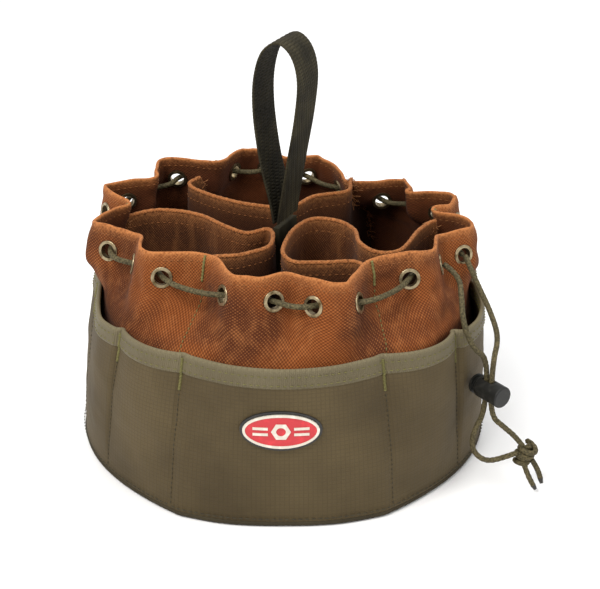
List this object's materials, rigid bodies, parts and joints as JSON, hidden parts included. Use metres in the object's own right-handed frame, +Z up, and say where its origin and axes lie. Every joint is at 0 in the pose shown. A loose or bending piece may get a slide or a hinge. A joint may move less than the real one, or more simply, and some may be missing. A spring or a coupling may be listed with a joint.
{
  "type": "drawstring tool organizer",
  "caption": "Round drawstring canvas tool organizer with inner compartments, outer pocket skirt, laced cord with barrel lock and carry loop",
  "frame": {"origin": "centre of the round base, on its resting face", "axes": "+Z up out of the mouth; the badge and the widest pocket face -Y; +X towards the side that carries the cord ends and their lock"},
  "size_m": [0.2847, 0.2622, 0.2518],
  "materials": {
    "base_cloth": "matt woven",
    "base_board": "matt",
    "canvas": "matt woven duck",
    "canvas_inside": "matt woven duck",
    "ripstop": "matt ripstop weave",
    "binding_tape": "matt grosgrain",
    "webbing": "ribbed webbing",
    "eyelet_metal": "antique nickel plate",
    "cord": "braided",
    "cord_tip": "melted",
    "lock_plastic": "fine matt",
    "spring_steel": "bright",
    "badge_black": "satin",
    "badge_white": "satin",
    "badge_red": "satin"
  },
  "bodies": {
    "bag": {"base_outer_panel": "base_cloth", "base_board": "base_board", "base_lining": "canvas_inside", "base_seam_binding": "base_cloth", "outer_wall_front": "canvas", "outer_wall_front_right": "canvas", "outer_wall_back_right": "canvas", "outer_wall_back": "canvas", "outer_wall_back_left": "canvas", "outer_wall_front_left": "canvas", "pocket_skirt_left": "ripstop", "pocket_skirt_front": "ripstop", "pocket_skirt_right": "ripstop", "pocket_skirt_back": "ripstop", "pocket_binding_tape": "binding_tape", "petal_front_left": "canvas_inside", "petal_front_right": "canvas_inside", "petal_back": "canvas_inside", "carry_loop_anchor": "webbing", "eyelet_barrels": "eyelet_metal", "eyelet_washers": "eyelet_metal", "drawcord_lacing": "cord", "badge_backing": "badge_black", "badge_border": "badge_white", "badge_field": "badge_red", "badge_emblem": "badge_white"},
    "carry_loop": {"carry_loop": "webbing"},
    "drawcord_ends": {"cord_end_front": "cord", "cord_end_back": "cord", "cord_tail_long": "cord", "cord_tail_short": "cord", "drawcord_knot": "cord", "cord_tips": "cord_tip"},
    "cord_lock": {"lock_barrel": "lock_plastic", "lock_spring": "spring_steel"},
    "lock_button": {"lock_plunger": "lock_plastic"}
  },
  "joints": [
    {"name": "loop_bend", "type": "hinge", "parent": "bag", "child": "carry_loop", "pos_m": [0.0015, 0, 0.1385], "axis": [0.454, 0.891, 0], "range_deg": [-45, 45], "stiffness_Nm_per_rad": 0.06},
    {"name": "cord_swing", "type": "hinge", "parent": "bag", "child": "drawcord_ends", "pos_m": [0.10087, -0.04234, 0.12962], "axis": [-0.6435, -0.7599, 0.0922], "range_deg": [0, 50]},
    {"name": "lock_slide", "type": "slide", "parent": "drawcord_ends", "child": "cord_lock", "axis": [0, 0, 1], "range_m": [-0.003, 0.005]},
    {"name": "button_press", "type": "slide", "parent": "cord_lock", "child": "lock_button", "axis": [0.6, -0.8, 0], "range_m": [0, 0.0022], "stiffness_N_per_m": 900, "springref_m": -0.002}
  ]
}
